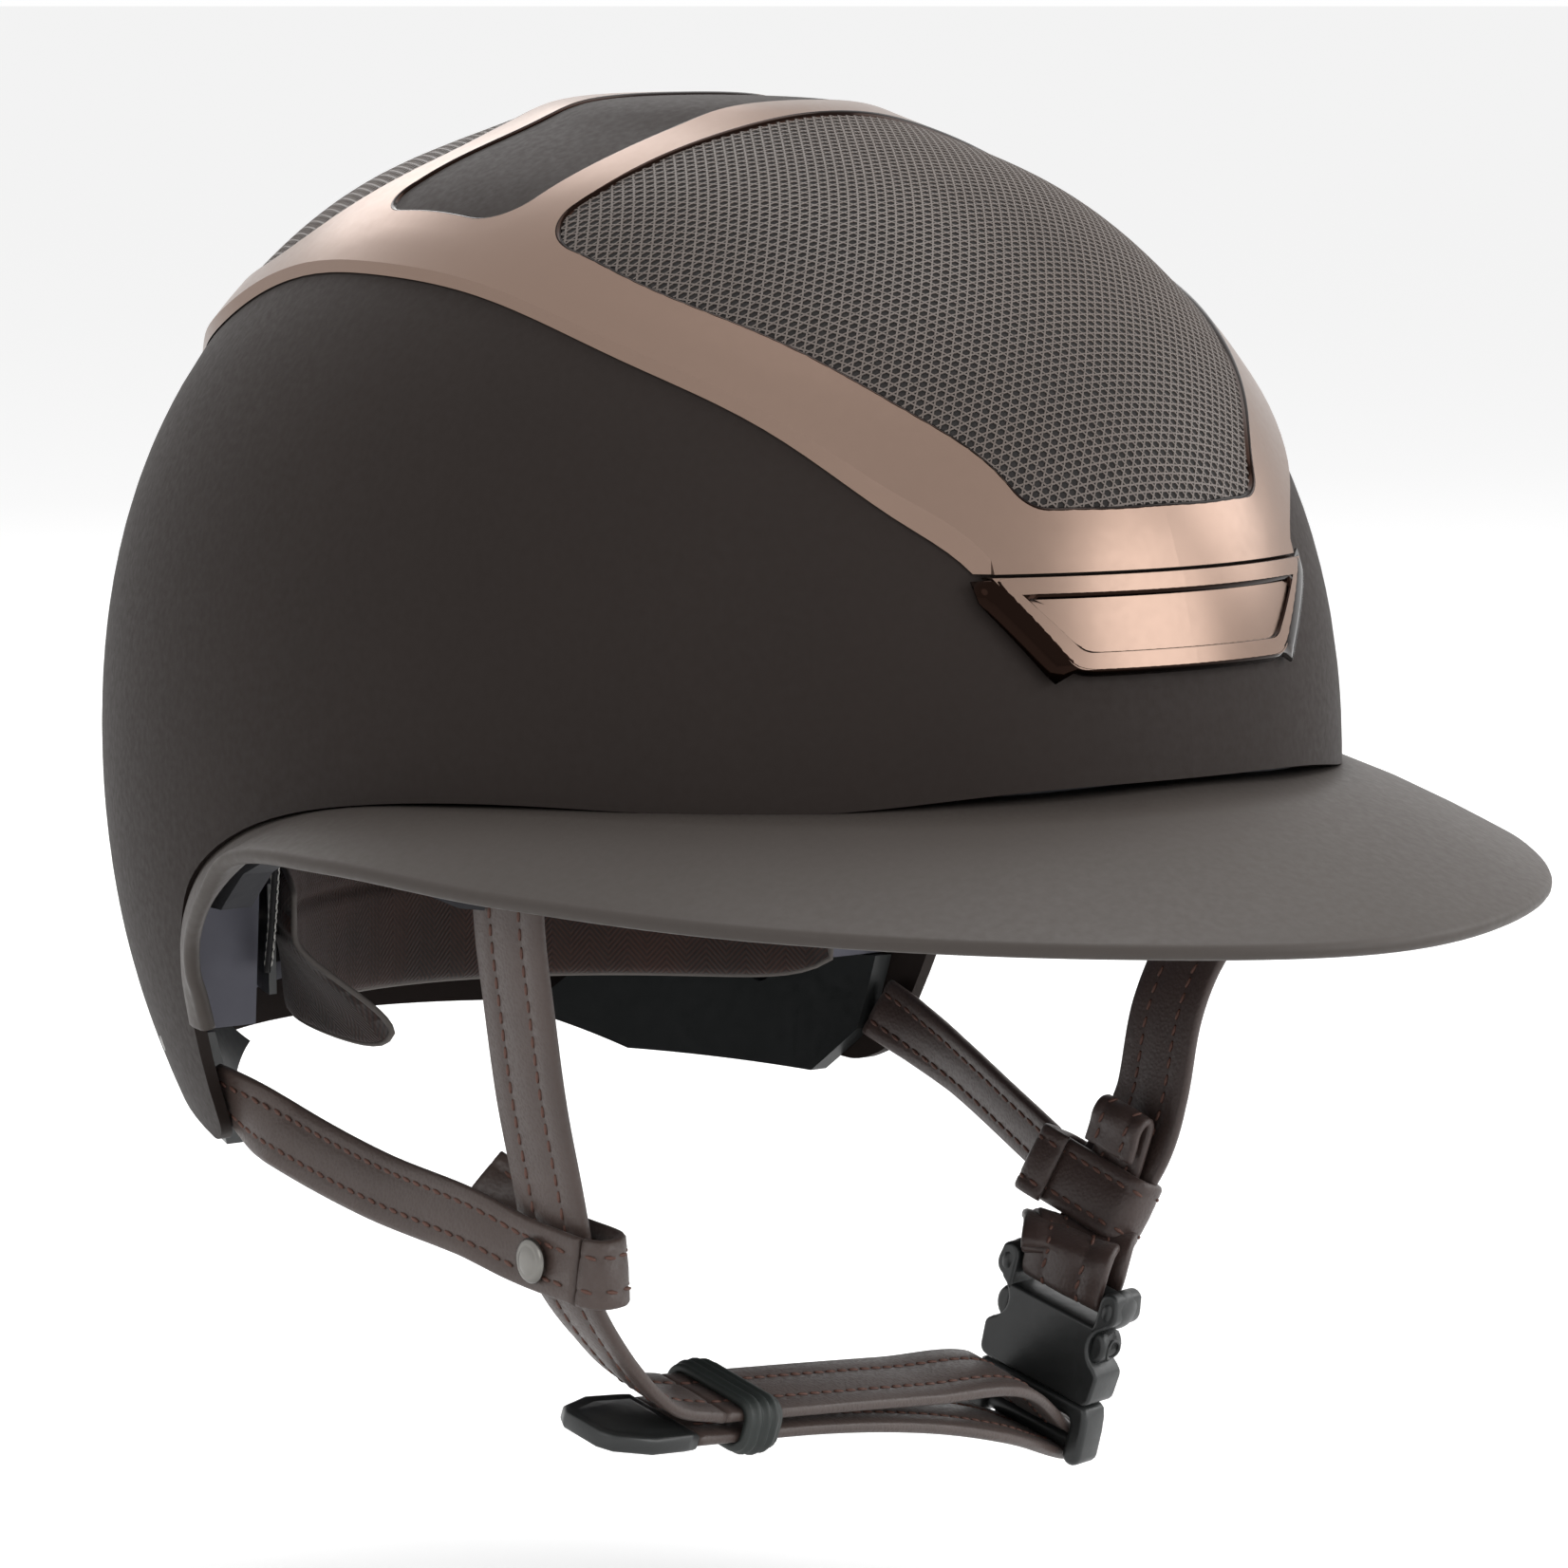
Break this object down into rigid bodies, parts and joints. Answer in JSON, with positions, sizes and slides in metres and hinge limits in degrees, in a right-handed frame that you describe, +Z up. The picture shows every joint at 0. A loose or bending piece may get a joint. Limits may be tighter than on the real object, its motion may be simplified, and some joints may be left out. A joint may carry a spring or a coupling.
{
  "type": "riding helmet",
  "caption": "Wide-brim equestrian riding helmet with two domed vent grilles in a metal-look frame, foam liner, nape cradle and buckled leather harness.",
  "frame": {"origin": "centre of the head opening, level with the brim's root on the shell", "axes": "+Z up, the wearer looks along -Y, +X is the wearer's left"},
  "size_m": [0.2516, 0.3343, 0.2753],
  "materials": {
    "shell_matt": "soft-touch matt",
    "trim_soft": "soft-touch matt",
    "rose_metal": "satin metallic",
    "grille_mesh": "fine perforated",
    "foam": "matt moulded foam",
    "lining_fabric": "twill",
    "black_plastic": "semi-gloss",
    "steel": "dark plated",
    "strap_leather": "fine grain, stitched",
    "keeper_rubber": "matt"
  },
  "bodies": {
    "root": {"brim": "trim_soft", "brow_pad": "lining_fabric", "buckle_female": "black_plastic", "buckle_strap": "strap_leather", "chin_strap_lower": "strap_leather", "chin_strap_upper": "strap_leather", "cradle_pins": "steel", "crown_pad": "lining_fabric", "crown_panel": "shell_matt", "foam_liner": "foam", "front_mesh": "grille_mesh", "front_plate": "rose_metal", "left_front_strap": "strap_leather", "left_keeper_loop": "strap_leather", "left_rear_strap": "strap_leather", "left_strap_end": "strap_leather", "nape_rivets": "steel", "nape_trim_left": "black_plastic", "nape_trim_right": "black_plastic", "outer_shell": "shell_matt", "rear_mesh": "grille_mesh", "right_front_strap": "strap_leather", "right_rear_strap": "strap_leather", "rim_moulding": "trim_soft", "side_pad_left": "lining_fabric", "side_pad_right": "lining_fabric", "snap_cap": "steel", "strap_end_tab": "black_plastic", "vent_frame": "rose_metal"},
    "male_half": {"buckle_male": "black_plastic", "chin_strap_turn": "strap_leather"},
    "front_prong": {"prong_front": "black_plastic"},
    "rear_prong": {"prong_rear": "black_plastic"},
    "keeper": {"rubber_keeper": "keeper_rubber"},
    "cradle": {"nape_cradle": "lining_fabric", "cradle_yoke": "black_plastic"},
    "strap_tail": {"snap_tail": "strap_leather", "snap_socket": "steel"}
  },
  "joints": [
    {"name": "buckle_release", "type": "slide", "parent": "root", "child": "male_half", "axis": [-0.039, 0.3088, -0.9503], "range_m": [0, 0.024], "deforming": ["prong_front", "prong_rear"]},
    {"name": "front_prong_press", "type": "hinge", "parent": "male_half", "child": "front_prong", "pos_m": [0.06351, -0.03892, -0.13367], "axis": [0.979, 0.202, 0.0255], "range_deg": [0, 7], "stiffness_Nm_per_rad": 0.05},
    {"name": "rear_prong_press", "type": "hinge", "parent": "male_half", "child": "rear_prong", "pos_m": [0.06015, -0.0233, -0.12846], "axis": [-0.979, -0.202, -0.0255], "range_deg": [0, 7], "stiffness_Nm_per_rad": 0.05},
    {"name": "keeper_slide", "type": "slide", "parent": "root", "child": "keeper", "axis": [0.9912, 0.1051, -0.08], "range_m": [0, 0.014]},
    {"name": "cradle_tilt", "type": "hinge", "parent": "root", "child": "cradle", "pos_m": [0, 0.062, -0.034], "axis": [1, 0, 0], "range_deg": [-4, 4]},
    {"name": "tail_unsnap", "type": "hinge", "parent": "root", "child": "strap_tail", "pos_m": [-0.0848, -0.0682, -0.088], "axis": [0, 0, -1], "range_deg": [0, 60]}
  ]
}
